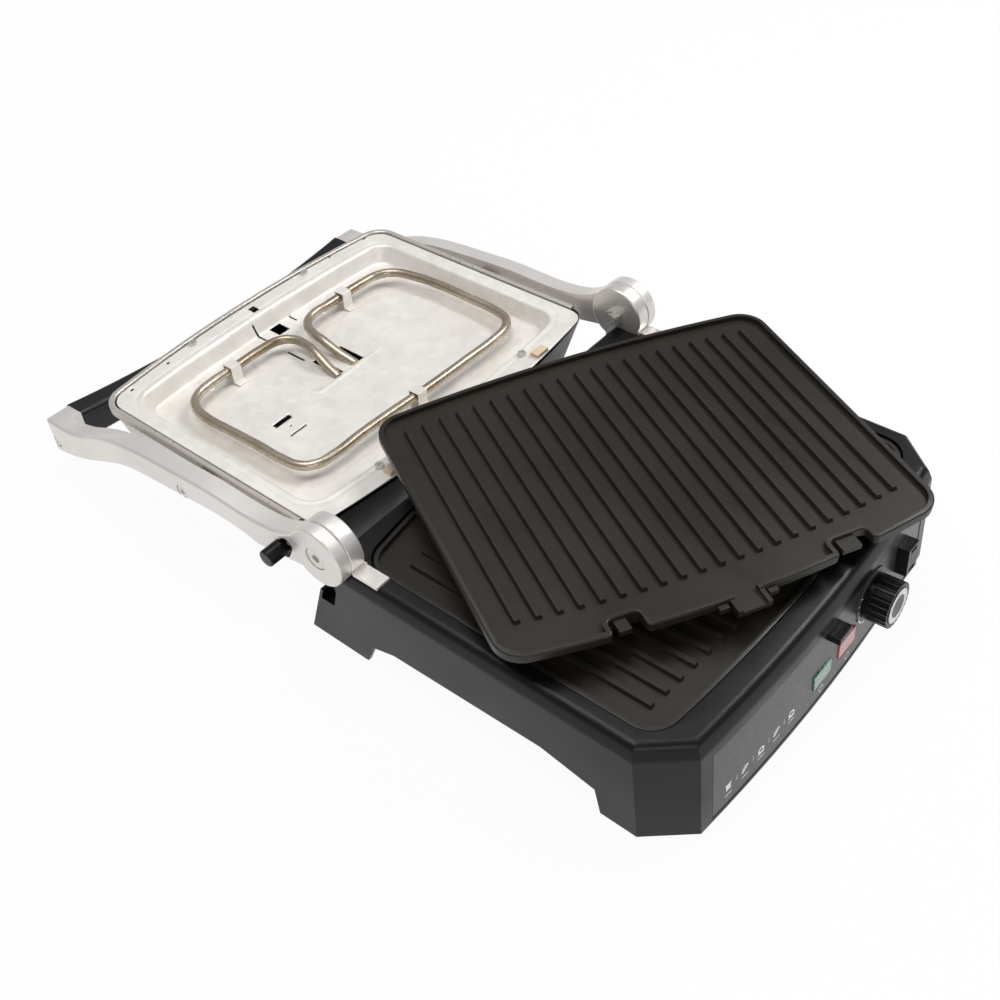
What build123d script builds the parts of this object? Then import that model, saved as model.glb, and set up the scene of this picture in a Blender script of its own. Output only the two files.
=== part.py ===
from build123d import *
from math import atan, cos, degrees, sin
import os

# Countertop contact grill opened flat, with its upper plate taken out and laid on the lower one.
# Millimetres. Origin on the table under the middle of the base.
# +X is the user's right, -Y the front with the controls, +Z up.

# Base housing
base_half_width = 158.4
base_front_y = -144.9
base_front_bow = 6.3
corner_cut_x = 134.8
corner_cut_y = -117.4
base_rear_y = 144.8
base_rear_lean = 0.369
base_front_lean = 0.063
base_bottom_z = 0.8
bevel_z = 68.4
deck_z = 78.0
bevel_inset = 3.6
deck_edge_radius = 6.0
bevel_edge_radius = 8.0
housing_wall = 3.0
deck_thickness = 3.0
arch_top_z = 28.5
arch_profile = [(95.8, -5), (85, 19), (66.9, 24.6), (3.8, 27), (-49.5, arch_top_z), (-88.2, 21), (-93.2, -5)]
fit_gap = 0.3
running_gap = 0.05
cut_reach = 200.0
corner_shrink_x = 0.45
corner_shrink_y = 0.4
plate_ledge_y = (-60.0, 45.0)
plate_ledge_length = 12.0
plate_ledge_reach = 16.4
latch_shelf_x = 76.0
latch_shelf_rear_y = -133.0
ledge_bottom_z = 60.0
post_width = 10.0
post_top_z = 22.0

# Hinge
hinge_y = 115.6
hinge_z = 87.4
hinge_disc_radius = 21.5
hinge_outer_x = 165.2
hinge_split_x = 155.7
hinge_inner_x = 143.9
hinge_bolt_radius = 4.0
hinge_bolt_head_radius = 7.8
hinge_bolt_head_height = 2.2
countersink_depth = 3.0
hinge_nut_size = 11.0
hinge_nut_height = 5.0
bracket_tongue_front_y = 74.0
bracket_tongue_outer_x = 156.0
bracket_tongue_wide_y = 94.4
bracket_tongue_thickness = 2.0
bracket_stalk_width = 7.4
bracket_stalk_y = 117.1
bracket_stalk_thickness = 6.0
hinge_socket_radius = 3.4
hinge_disc_edge_radius = 1.6
hinge_split_chamfer = 0.6
hinge_socket_depth = 1.6
pocket_floor_z = 38.0
pocket_front_points = [(104.0, 98.0), (104.0, 72.0), (109.9, 59.7), (116.6, pocket_floor_z)]
pocket_rear_points = [(128.3, pocket_floor_z), (125.0, 47.3), (160.0, 47.3), (160.0, 98.0)]
pocket_clearance = 1.2
pocket_side_clearance = 0.4

# Cooking plates
plate_half_width = 144.0
plate_half_depth = 119.0
plain_edge_sag = 9.0
latch_edge_sag = 13.0
plate_corner_radius = 19.0
plate_rim_height = 6.0
plate_rim_width = 3.6
plate_field_depth = 3.2
plate_skirt_inset = 18.0
plate_skirt_wall = 3.0
plate_depth = 19.0
rib_count = 21
rib_pitch = 12.5
rib_width = 5.0
rib_height = 2.8
rib_draft = 18.0
rib_corner_radius = 1.2
rib_plain_end_gap = 17.0
rib_latch_end_gap = 25.5
notch_depth = 15.0
notch_corner_radius = 3.5
notch_left = (-80.6, -61.0)
notch_right = (64.0, 89.0)
spout_half_width = 11.0
spout_reach = 9.5
spout_drop = 1.2
spout_wall = 3.0
spout_lug_offset = 5.0
spout_lug_width = 6.0
spout_lug_reach = 3.5
spout_lug_drop = 2.4
lock_lug_side_gaps = (4.0, 8.0)
lock_lug_reach = 9.0
lock_lug_drop = 2.4
lower_plate_y = -8.5
plate_side_gap = 0.8
plate_edge_radius = 1.2
plate_inner_corner_radius = 7.0
lower_plate_top_z = 76.9
loose_plate_x = 9.9
loose_plate_y = -4.9
loose_plate_top_z = 102.1
loose_plate_turn = -27.16
loose_plate_pitch = 1.43
loose_plate_roll = 1.03

# Pans and elements
sheet = 0.8
lower_flange_z = 70.6
lower_flange_inset = 1.0
bowl_inset = 15.5
lower_bowl_run = 1.8
lid_bowl_run = 7.0
bowl_depth = 13.1
element_radius = 3.5
element_half_width = 108.5
element_depth = 134.0
element_bend_radius = 18.0
element_leg_x = 8.0
element_leg_bend_radius = 7.0
element_dive_bend_radius = 10.0
element_leg_length = 58.0
element_drop_length = 20.0
element_drop = 13.0
lower_element_z = 65.8
lower_element_y = -65.0
lid_element_z = 75.0
lid_element_y = 184.0
clip_width = 9.0
clip_thickness = 1.0
clip_toe = 7.0
screw_head_radius = 3.2
screw_head_height = 2.0
screw_radius = 1.6
screw_length = 6.0
clip_x = 58.0
leg_slot_width = 10.4
leg_slot_rear = 6.0
leg_slot_front = 26.0

# Lid
lid_rim_z = 80.5
lid_half_width = 145.0
lid_near_y = 131.0
lid_far_y = 372.0
lid_near_sag = 12.6
lid_far_sag = 10.5
lid_near_radius = 13.0
lid_far_radius = 19.0
lid_inner_near_radius = 9.0
lid_inner_far_radius = 11.0
lip_width = 4.0
lip_height = 6.0
lip_gap = 1.2
lip_edge_radius = 1.2
frame_outer_inset = 7.5
frame_near_inset = 10.5
frame_inner_inset = 13.0
frame_depth = 12.0
lid_flange_z = 79.0
lid_cover_top_z = lid_rim_z - lip_height
lid_rim_start_y = 155.0
lid_cover_bottom_z = 5.0
lid_cover_inset_top = 1.6
lid_cover_bottom_inset = 17.0
lid_near_lean_y = 156.0
lid_near_bottom_sag = 7.56
lid_cover_edge_radius = 5.0
lid_joint_gap = 0.2
lid_bowl_near_step = 5.0
lid_bowl_far_step = 6.0
lid_bowl_near_radius = 16.0
lid_bowl_far_radius = 18.0
pan_window_x = (-79.2, -63.7)
pan_window_y = (249.3, 254.1)
lid_cover_wall = 1.0
lid_panel_wall = 2.5
lid_split_y = 160.0
lid_pivot_y = 250.0
lid_pivot_z = 68.0
lid_pivot_radius = 3.0
lid_boss_radius = 6.2
lid_bush_radius = 6.0
lid_boss_proud = 0.8
lid_boss_depth = 14.0
lid_bore_inner_reach = 25.0
lid_bore_outer_reach = 15.0
screw_boss_radius = 4.0
screw_boss_depth = 10.0
lid_screw_spacing_far = 58.0
lid_screw_spacing_near = 75.0
lid_screw_far_y = 362.0
lid_screw_near_y = 149.5
insulator_x = (-71.6, 83.5)
insulator_y = 140.0
insulator_width = 12.0
insulator_depth = 7.0
insulator_height = 3.0

# Arms and handle
arm_inner_x = 150.0
arm_outer_x = 164.0
arm_top_points = [(137, 96), (150, 89), (165, 85.5), (190, 84), (220, 84.5), (260, 82), (303, 78), (345, 67),
                  (375, 54.5), (398, 50)]
arm_under_points = [(417, 20), (394, 24), (349, 42), (313, 55), (283, 59), (243, 63), (221, 65), (175, 61.5)]
arm_root_points = [(150, 65.6), (128, 69.8), (120, 95)]
arm_tip_y = 417.0
arm_tip_z = 49.5
arm_nose_points = [(425.6, 42.5), (429.0, 31.0), (426.0, 23.5)]
arm_pivot_head_radius = 5.4
arm_pivot_socket_radius = 2.6
arm_pivot_socket_depth = 1.4
arm_edge_radius = 3.0
arm_pivot_recess = 2.4
arm_end_plan_radius = 17.0
handle_front_y = 402.0
handle_back_y = 421.0
handle_top_z = 50.0
handle_bottom_z = 24.0
handle_arch = 10.5
handle_half_length = 143.0
handle_rod_radius = 4.0
handle_rod_z = 31.0
handle_under_arch = 6.3
handle_edge_radius = 3.5
handle_screw_radius = 2.6
handle_screw_head_radius = 4.2
handle_screw_depth = 9.0

# Flat-open lever
lever_pin_y = 144.0
lever_pin_z = 81.5
lever_knob_y = 150.0
lever_knob_z = 76.0
lever_link_x = 161.2
lever_link_thickness = 3.0
lever_link_radius = 4.4
lever_recess_gap = 0.8
lever_back_gap = 0.5
lever_pull_angle = -20.0
lever_knob_radius = 6.0
lever_knob_length = 13.0
lever_pin_radius = 1.5

# Front controls
panel_half_width = 124.5
panel_bottom_z = 3.4
panel_top_z = 61.0
panel_inset = 0.3
panel_thickness = 1.4
knob_x = 47.0
knob_z = 41.0
knob_radius = 15.5
knob_length = 16.0
knob_standoff = 1.4
knob_flute_count = 24
knob_flute_radius = 1.3
knob_cap_radius = 12.5
knob_cap_height = 1.2
dial_radius = 19.0
dial_thickness = 0.8
dial_back_gap = 0.05
thermostat_shaft_radius = 3.0
shaft_clearance = 0.6
thermostat_shaft_depth = 14.0
thermostat_width = 28.0
thermostat_height = 26.0
thermostat_depth = 24.0
opening_depth = 12.0
release_x = -3.0
release_z = 54.5
release_width = 15.0
release_height = 5.0
release_reach = 8.4
power_x = 92.0
power_z = 38.0
power_width = 14.0
power_height = 22.0
power_reach = 8.0
button_gap = 0.4
button_flange = 2.6
button_flange_step = 5.0
button_stem_radius = 2.4
button_guide_depth = 16.0
spring_radius = 4.2
spring_wall = 0.9
green_lens_x = -12.7
green_lens_z = 24.4
red_lens_x = 17.3
red_lens_z = 25.2
lens_width = 20.4
lens_height = 12.0
lens_proud = 0.6
lamp_depth = 10.0

# Latch bar for the lower plate
latch_z = 64.2
latch_half_length = 84.0
latch_tongue_x = 70.0
latch_tongue_width = 10.0
latch_stand_back = 9.0
latch_width = 5.0
latch_height = 4.0

# Rear and underside
cover_sheet = 2.4
cover_side_inset = 3.4
cover_bend_y = (-97.0, -91.0, 89.0, 101.0)
arch_clearance = 2.2
vent_count = 11
vent_pitch = 14.0
vent_width = 3.0
vent_length = 60.0
foot_radius = 8.0
foot_height = 6.0
foot_side_inset = 24.4
foot_x = base_half_width - foot_side_inset
foot_front_y = -118.0
foot_rear_y = 130.0
gland_y = 118.0
cover_screw_side_inset = 40.4
cover_screw_x = base_half_width - cover_screw_side_inset
cover_screw_front_y = -127.0
cover_screw_rear_y = 124.0
gland_z = 21.0
gland_radius = 6.0
gland_bore_radius = 3.6
gland_flange_step = 2.0
gland_flange_length = 4.0
gland_neck_length = 12.0
terminal_x = 80.0
terminal_y = 69.0
terminal_length = 40.0
terminal_width = 18.0
terminal_height = 14.0
terminal_pitch = 13.0
terminal_hole_radius = 2.4

nodes = {}


def keep(name, *solids):
    """Collects the solids of one node."""
    nodes.setdefault(name, []).extend(solids)


def slab(face, bottom_z, top_z):
    """A flat face extruded between two heights."""
    return Pos(0, 0, bottom_z) * extrude(face, top_z - bottom_z, dir=(0, 0, 1))


def block(x0, x1, y0, y1, z0, z1):
    """A box given by its limits."""
    return Pos((x0 + x1) / 2, (y0 + y1) / 2, (z0 + z1) / 2) * Box(x1 - x0, y1 - y0, z1 - z0)


def rod_x(x0, x1, y, z, radius):
    """A round bar along X."""
    return Pos((x0 + x1) / 2, y, z) * Rot(0, 90, 0) * Cylinder(radius, abs(x1 - x0))


def side_prism(points, x0, x1):
    """A profile in Y and Z extruded along X."""
    face = make_face(Polyline(*[(0, y, z) for y, z in points], close=True))
    return Pos(x0, 0, 0) * extrude(face, x1 - x0, dir=(1, 0, 0))


def mirrored(solid):
    """The same piece on the other side of the grill."""
    return mirror(solid, about=Plane.YZ)


def bowed_outline(half_width, near_y, far_y, near_sag, far_sag, near_radius, far_radius):
    """Plan outline with straight sides and both ends bowed outwards."""
    near = ThreePointArc((-half_width, near_y + near_sag), (0, near_y), (half_width, near_y + near_sag))
    right = Line((half_width, near_y + near_sag), (half_width, far_y - far_sag))
    far = ThreePointArc((half_width, far_y - far_sag), (0, far_y), (-half_width, far_y - far_sag))
    left = Line((-half_width, far_y - far_sag), (-half_width, near_y + near_sag))
    face = make_face([near, right, far, left])
    face = fillet(face.vertices().sort_by(Axis.Y)[:2], near_radius)
    return fillet(face.vertices().sort_by(Axis.Y)[-2:], far_radius)


# Base housing


def base_outline(z, inset=0.0, bevel=0.0):
    """Plan of the base at a height: cut front corners, bowed and leaning front, leaning rear."""
    lean = base_front_lean * z
    shrink = inset + bevel
    side = base_half_width - shrink
    rear = base_rear_y - base_rear_lean * z - inset
    front = base_front_y + lean + shrink
    cut_x = corner_cut_x - shrink * corner_shrink_x
    cut_y = corner_cut_y + lean + shrink * corner_shrink_y
    arc = ThreePointArc((-cut_x, front), (0, front - base_front_bow), (cut_x, front))
    right = [(cut_x, front), (side, cut_y), (side, rear)]
    left = [(-x, y) for x, y in reversed(right)]
    rest = Polyline(*right, *left)
    return Pos(0, 0, z) * make_face([arc, rest])


def base_body(inset, bottom, top):
    """Solid body of the base between two heights, shrunk by an inset."""
    lower_top = min(top, bevel_z)
    lower = loft([base_outline(bottom, inset), base_outline(lower_top, inset)], ruled=True)
    if top <= bevel_z:
        return lower
    top_bevel = bevel_inset * (top - bevel_z) / (deck_z - bevel_z)
    upper = loft([base_outline(bevel_z, inset), base_outline(top, inset, top_bevel)], ruled=True)
    return lower + upper


def hinge_pocket(grow=0.0):
    """Space cut from the rear top corner of the base for the left hinge."""
    inner_x = -hinge_inner_x + pocket_side_clearance + grow
    cheek = rod_x(-cut_reach, inner_x, hinge_y, hinge_z, hinge_disc_radius + pocket_clearance + grow)
    profile = [(y - grow, z) for y, z in pocket_front_points[:-1]]
    floor_y, floor_z = pocket_front_points[-1]
    profile += [(floor_y - grow, floor_z - grow), (pocket_rear_points[0][0], pocket_rear_points[0][1] - grow)]
    return cheek + side_prism(profile + pocket_rear_points[1:], -cut_reach, inner_x)


def front_plane(x, z):
    """Plane on the sloping front: X along the front, Y up it, Z outwards."""
    y = base_front_y - base_front_bow * (1 - (x / corner_cut_x) ** 2) + base_front_lean * z
    slope = atan(base_front_lean)
    return Plane(origin=(x, y, z), x_dir=(1, 0, 0), z_dir=(0, -cos(slope), sin(slope)))


def on_front(x, z, solid):
    """Places a piece modelled along its own Z on the sloping front."""
    return front_plane(x, z).location * solid


def front_block(width, height, z0, z1):
    """Box standing on the front, from depth z0 to height z1."""
    return Pos(0, 0, (z0 + z1) / 2) * Box(width, height, z1 - z0)


def front_cylinder(radius, z0, z1):
    """Round piece standing on the front, from depth z0 to height z1."""
    return Pos(0, 0, (z0 + z1) / 2) * Cylinder(radius, z1 - z0)


def panel_slab(inset_front, inset_back, edge):
    """Curved slab of the front between two depths, as wide and high as the panel less an edge."""
    window = block(-panel_half_width + edge, panel_half_width - edge, base_front_y - 30, base_front_y + 30,
                   panel_bottom_z + edge, panel_top_z - edge)
    outer = loft([base_outline(-2, inset_front), base_outline(bevel_z + 2, inset_front)], ruled=True)
    inner = loft([base_outline(-3, inset_back), base_outline(bevel_z + 3, inset_back)], ruled=True)
    return (outer - inner) & window


def front_openings():
    """Holes through the front wall and the panel for the controls."""
    depth = opening_depth
    gap = 2 * button_gap
    lens_hole = front_block(lens_width, lens_height, -depth, depth)
    return [
        on_front(knob_x, knob_z, front_cylinder(thermostat_shaft_radius + shaft_clearance, -depth, depth)),
        on_front(release_x, release_z, front_block(release_width + gap, release_height + gap, -depth, depth)),
        on_front(power_x, power_z, front_block(power_width + gap, power_height + gap, -depth, depth)),
        on_front(green_lens_x, green_lens_z, lens_hole),
        on_front(red_lens_x, red_lens_z, lens_hole),
    ]


def lower_plate_outline(inset):
    """Plan of the seated lower plate, its latch edge at the rear."""
    y0 = lower_plate_y - plate_half_depth
    y1 = lower_plate_y + plate_half_depth
    return bowed_outline(plate_half_width - inset, y0 + inset, y1 - inset, plain_edge_sag, latch_edge_sag,
                         plate_corner_radius - inset, plate_corner_radius - inset)


def cover_screw_places():
    """Screws that hold the bottom cover to the posts of the housing."""
    rows = (cover_screw_front_y, cover_screw_rear_y)
    return [(side * cover_screw_x, y) for side in (-1, 1) for y in rows]


def make_base_housing():
    """Moulded housing: hollow shell, deck opening, hinge pockets, side arches and inner ledges."""
    outer = base_body(0, base_bottom_z, deck_z)
    outer = fillet(outer.edges().filter_by_position(Axis.Z, bevel_z - 0.1, bevel_z + 0.1), bevel_edge_radius)
    outer = fillet(outer.faces().sort_by(Axis.Z)[-1].outer_wire().edges(), deck_edge_radius)
    pocket = hinge_pocket()
    outer = outer - pocket - mirrored(pocket)
    inner = base_body(housing_wall, base_bottom_z - 3, deck_z - deck_thickness)
    pocket_skin = hinge_pocket(housing_wall)
    inner = inner - pocket_skin - mirrored(pocket_skin)
    shell = outer - inner
    ledges = []
    for side in (-1, 1):
        ledge_x0, ledge_x1 = sorted((side * base_half_width, side * (base_half_width - plate_ledge_reach)))
        for y in plate_ledge_y:
            ledges.append(block(ledge_x0, ledge_x1, y - plate_ledge_length / 2, y + plate_ledge_length / 2,
                                ledge_bottom_z, lower_flange_z - sheet))
        shelf_x = side * latch_shelf_x
        ledges.append(block(shelf_x - post_width / 2, shelf_x + post_width / 2, base_front_y - base_front_bow,
                            latch_shelf_rear_y, ledge_bottom_z, latch_z - fit_gap))
    for x, y in cover_screw_places():
        outward = 1 if y > 0 else -1
        near_y, far_y = sorted((y - outward * post_width / 2, y + outward * post_width * 2))
        ledges.append(block(x - post_width / 2, x + post_width / 2, near_y, far_y,
                            foot_height + cover_sheet, post_top_z))
    body_limit = base_body(housing_wall / 3, base_bottom_z, lower_flange_z - sheet)
    shell = shell + [ledge & body_limit for ledge in ledges]
    shell = shell - slab(lower_plate_outline(-plate_side_gap), deck_z - deck_thickness - 1, deck_z + 5)
    pan_seat = lower_plate_outline(lower_flange_inset - plate_side_gap / 2)
    shell = shell - slab(pan_seat, lower_flange_z - sheet, deck_z)
    shell = shell - side_prism(arch_profile, -cut_reach, cut_reach)
    shell = shell - panel_slab(-3, panel_inset + panel_thickness, -0.15)
    for hole in front_openings():
        shell = shell - hole
    gland_hole = rod_x(base_half_width - 2 * housing_wall, cut_reach, gland_y, gland_z, gland_radius)
    return shell - gland_hole


def make_control_panel():
    """Thin printed overlay set into the front of the housing."""
    panel = panel_slab(panel_inset, panel_inset + panel_thickness, 0.0)
    for hole in front_openings():
        panel = panel - hole
    return panel


# Base underside


def cover_profile():
    """Bent section of the bottom cover, following the arch of the housing."""
    low = foot_height
    high = arch_top_z + arch_clearance
    line = [(-150, low), (cover_bend_y[0], low), (cover_bend_y[1], high), (cover_bend_y[2], high),
            (cover_bend_y[3], low), (142, low)]
    return line + [(y, z + cover_sheet) for y, z in reversed(line)]


def make_bottom_cover():
    """Underside cover bent up over the arch, inside the housing walls."""
    half = base_half_width - cover_side_inset
    shell = base_body(housing_wall + fit_gap, base_bottom_z, bevel_z)
    cover = side_prism(cover_profile(), -half, half) & shell
    for index in range(vent_count):
        x0 = (index - (vent_count - 1) / 2) * vent_pitch - vent_width / 2
        cover = cover - block(x0, x0 + vent_width, -vent_length / 2, vent_length / 2, 20, 40)
    return cover


def foot_places():
    """Centres of the four feet."""
    return [(x, y) for x in (-foot_x, foot_x) for y in (foot_front_y, foot_rear_y)]


def make_feet():
    """Rubber feet under the bottom cover."""
    return [Pos(x, y, foot_height / 2) * Cylinder(foot_radius, foot_height) for x, y in foot_places()]


def make_cord_gland():
    """Bush in the right side wall where the supply cord enters, clear of the opened lid."""
    face_x = base_half_width
    flange = rod_x(face_x, face_x + gland_flange_length, gland_y, gland_z, gland_radius + gland_flange_step)
    flange = fillet(flange.edges().sort_by(Axis.X)[-1], gland_flange_length / 3)
    neck = rod_x(face_x - gland_neck_length, face_x + 1, gland_y, gland_z, gland_radius)
    bore = rod_x(face_x - cut_reach / 4, cut_reach, gland_y, gland_z, gland_bore_radius)
    return flange + neck - bore


def make_terminal_block():
    """Ceramic terminal block on the bottom cover."""
    z = arch_top_z + arch_clearance + cover_sheet
    body = block(terminal_x - terminal_length / 2, terminal_x + terminal_length / 2,
                 terminal_y - terminal_width / 2, terminal_y + terminal_width / 2, z, z + terminal_height)
    for index in (-1, 0, 1):
        hole = Cylinder(terminal_hole_radius, 8)
        body = body - Pos(terminal_x + index * terminal_pitch, terminal_y, z + terminal_height - 2) * hole
    return body


# Cooking plates


def plate_outline(inset):
    """Plan of a plate in its own frame, latch edge towards -Y."""
    corner = max(plate_corner_radius - inset, plate_inner_corner_radius)
    return bowed_outline(plate_half_width - inset, -plate_half_depth + inset, plate_half_depth - inset,
                         latch_edge_sag, plain_edge_sag, corner, corner)


def rib_ends(x):
    """Both ends of the rib that stands at x, following the bowed edges."""
    share = (x / plate_half_width) ** 2
    start = -plate_half_depth + latch_edge_sag * share + rib_latch_end_gap
    end = plate_half_depth - plain_edge_sag * share - rib_plain_end_gap
    return start, end


def notched_outline():
    """Plan of a plate with its two latch notches, their corners rounded."""
    outline = plate_outline(0)
    inner_y = -plate_half_depth + notch_depth
    corners = []
    for x0, x1 in (notch_left, notch_right):
        middle_x = (x0 + x1) / 2
        outline = outline - Pos(middle_x, inner_y - notch_depth, 0) * Rectangle(x1 - x0, 2 * notch_depth)
        corners += [x0, x1]
    near = outline.vertices().filter_by_position(Axis.Y, -plate_half_depth, inner_y + 0.1)
    turned = [corner for corner in near if min(abs(corner.X - x) for x in corners) < 0.01]
    return fillet(turned, notch_corner_radius)


def make_plate(with_spout):
    """Cast plate in its own frame: rim, sunk field, ribs and the walls under it. Top at zero height."""
    outline = notched_outline()
    plate = slab(outline, -plate_rim_height, 0)
    plate = fillet(plate.faces().sort_by(Axis.Z)[-1].outer_wire().edges(), plate_edge_radius)
    plate = plate - slab(offset(outline, -plate_rim_width), -plate_field_depth, 1)
    for index in range(rib_count):
        x = (index - (rib_count - 1) / 2) * rib_pitch
        start, end = rib_ends(x)
        rib = RectangleRounded(rib_width, end - start, rib_corner_radius)
        rib = extrude(rib, rib_height, dir=(0, 0, 1), taper=rib_draft)
        plate = plate + Pos(x, (start + end) / 2, -plate_field_depth) * rib
    skirt = plate_outline(plate_skirt_inset) - plate_outline(plate_skirt_inset + plate_skirt_wall)
    plate = plate + slab(skirt, -plate_depth, -plate_field_depth - 0.5)
    for x0, x1 in (notch_left, notch_right):
        depth = -plate_half_depth + notch_depth
        plate = plate + block(x0 + lock_lug_side_gaps[0], x1 - lock_lug_side_gaps[1], depth - lock_lug_reach,
                              depth + 1, -plate_rim_height, -lock_lug_drop)
    if not with_spout:
        return plate
    root_y = -plate_half_depth + plate_rim_width + 0.4
    spout = block(-spout_half_width, spout_half_width, -plate_half_depth - spout_reach, root_y,
                  -plate_rim_height, -spout_drop)
    channel = block(-spout_half_width + spout_wall, spout_half_width - spout_wall,
                    -plate_half_depth - 2 * spout_reach, root_y + 2, -plate_field_depth, 1)
    plate = plate + spout - channel
    for side in (-1, 1):
        x0 = side * (spout_half_width + spout_lug_offset) - spout_lug_width / 2
        plate = plate + block(x0, x0 + spout_lug_width, -plate_half_depth - spout_lug_reach, root_y,
                              -plate_rim_height, -spout_lug_drop)
    return plate


# Pans, elements and their clips


def make_pan(flange_face, bowl_outline, flange_z, run):
    """Pressed sheet pan: flat flange, walls that slope inwards by a run, flat floor."""
    flange = slab(flange_face, flange_z - sheet, flange_z)
    floor_z = flange_z - bowl_depth
    skin_top = Pos(0, 0, flange_z - sheet / 4) * bowl_outline(-sheet)
    skin = loft([Pos(0, 0, floor_z - sheet) * bowl_outline(run - sheet), skin_top], ruled=True)
    mouth = Pos(0, 0, flange_z + 1) * bowl_outline(-run / bowl_depth)
    hollow = loft([Pos(0, 0, floor_z) * bowl_outline(run), mouth], ruled=True)
    return flange + skin - hollow


def leg_slots(y, floor_z):
    """Slots in a pan floor where the two legs of the element dive through."""
    x = element_leg_x
    half = leg_slot_width / 2
    y0 = y - leg_slot_rear
    y1 = y + leg_slot_front
    return [block(side * x - half, side * x + half, y0, y1, floor_z - 3, floor_z + 3) for side in (-1, 1)]


def element_path(y0, y1, z, facing):
    """Centre line of the tubular element: a wide loop whose two ends fold in and dive through the pan.
    The loop runs from y0, the closed side, to y1, the side with the two ends."""
    x = element_half_width
    leg_x = element_leg_x
    fold_y = y1 - facing * element_leg_length
    dive_y = y1 - facing * (element_leg_length - element_drop_length)
    left = [(-leg_x, fold_y, z - element_drop), (-leg_x, dive_y, z), (-leg_x, y1, z)]
    left += [(-x, y1, z), (-x, y0, z)]
    points = left + [(-px, py, pz) for px, py, pz in reversed(left)]
    bend = element_bend_radius
    leg = element_leg_bend_radius
    dive = element_dive_bend_radius
    return FilletPolyline(*points, radius=[dive, leg, bend, bend, bend, bend, leg, dive])


def make_element(y0, y1, z, facing):
    """Tubular heating element along its path."""
    path = element_path(y0, y1, z, facing)
    section = Plane(origin=path @ 0, z_dir=path % 0) * Circle(element_radius)
    return sweep(section, path=path)


def make_clip(x, y, floor_z, z):
    """Sheet strap over the tube, both feet on the pan floor. The tube runs along X here."""
    over = element_radius + fit_gap
    x0 = x - clip_width / 2
    x1 = x + clip_width / 2
    outer = over + clip_thickness
    strap = block(x0, x1, y - outer, y + outer, floor_z, z + outer)
    tunnel = block(x - clip_width, x + clip_width, y - over, y + over, floor_z - 1, z + over)
    toe = block(x0, x1, y - over - clip_toe, y - over, floor_z, floor_z + clip_thickness)
    return strap - tunnel + (toe - tunnel)


def make_clips(y, floor_z, z):
    """Two clips on the run with the legs and one on the closed run, which lies at y."""
    far_y = y + element_depth
    places = [(-clip_x, far_y), (clip_x, far_y), (0, y)]
    return [make_clip(place_x, place_y, floor_z, z) for place_x, place_y in places]


def screw(x, y, z):
    """Pan head screw, head seated on z, with a cross recess."""
    radius = screw_head_radius
    head = Pos(x, y, z + screw_head_height / 2) * Cylinder(radius, screw_head_height)
    shank = Pos(x, y, z - screw_length / 2) * Cylinder(screw_radius, screw_length)
    recess_z = z + screw_head_height * 0.6
    recess = block(x - radius * 0.6, x + radius * 0.6, y - 0.4, y + 0.4, recess_z, z + 3)
    cross = block(x - 0.4, x + 0.4, y - radius * 0.6, y + radius * 0.6, recess_z, z + 3)
    return head + shank - recess - cross


# Hinge


def make_hinge_bracket():
    """Left hinge bracket: round cheek, tongue on the deck and stalk standing in the pocket."""
    cheek = rod_x(-hinge_split_x + fit_gap, -hinge_inner_x, hinge_y, hinge_z, hinge_disc_radius)
    cheek = fillet(cheek.edges().sort_by(Axis.X)[-1], hinge_disc_edge_radius)
    cheek = chamfer(cheek.edges().filter_by(GeomType.CIRCLE).sort_by(Axis.X)[0], hinge_split_chamfer)
    tongue = block(-bracket_tongue_outer_x, -plate_half_width - plate_side_gap, bracket_tongue_front_y,
                   bracket_tongue_wide_y, deck_z, deck_z + bracket_tongue_thickness)
    tongue = tongue + block(-hinge_split_x + fit_gap, -hinge_inner_x, bracket_tongue_wide_y - 1, hinge_y - 14,
                            deck_z, deck_z + bracket_tongue_thickness)
    stalk = block(-hinge_inner_x - bracket_stalk_thickness, -hinge_inner_x, bracket_stalk_y,
                  bracket_stalk_y + bracket_stalk_width, pocket_floor_z, hinge_z)
    bore = rod_x(-cut_reach, -100, hinge_y, hinge_z, hinge_bolt_radius)
    return cheek + tongue + stalk - bore


def make_hinge_bolt():
    """Left hinge bolt: socket head outside, threaded end inside."""
    head_x = -hinge_outer_x + 0.5
    head = rod_x(head_x, head_x + hinge_bolt_head_height, hinge_y, hinge_z, hinge_bolt_head_radius)
    shank = rod_x(head_x + 1, -hinge_inner_x + hinge_nut_height + 1.5, hinge_y, hinge_z, hinge_bolt_radius)
    socket = extrude(RegularPolygon(hinge_socket_radius, 6), hinge_socket_depth, both=True)
    socket = Pos(head_x, hinge_y, hinge_z) * Rot(0, 90, 0) * socket
    return head + shank - socket


def make_hinge_nut():
    """Hexagon nut on the inner face of the left cheek."""
    prism = extrude(RegularPolygon(hinge_nut_size / 2, 6, major_radius=False), hinge_nut_height)
    nut = Pos(-hinge_inner_x, hinge_y, hinge_z) * Rot(0, 90, 0) * prism
    return nut - rod_x(-cut_reach, -100, hinge_y, hinge_z, hinge_bolt_radius)


# Arms


def arm_side_profile():
    """Side view of an arm in Y and Z: waved upper and lower edges and a rounded tip."""
    top = Spline(*[(0, y, z) for y, z in arm_top_points])
    nose_high, nose_end, nose_low = [(0, y, z) for y, z in arm_nose_points]
    tip = (0, arm_tip_y, arm_tip_z)
    shoulder = Line(top @ 1, tip)
    nose = ThreePointArc(tip, nose_high, nose_end)
    chin = ThreePointArc(nose_end, nose_low, (0, *arm_under_points[0]))
    under = Spline(*[(0, y, z) for y, z in arm_under_points])
    root = Polyline(under @ 1, *[(0, y, z) for y, z in arm_root_points], top @ 0)
    return make_face([top, shoulder, nose, chin, under, root])


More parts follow.
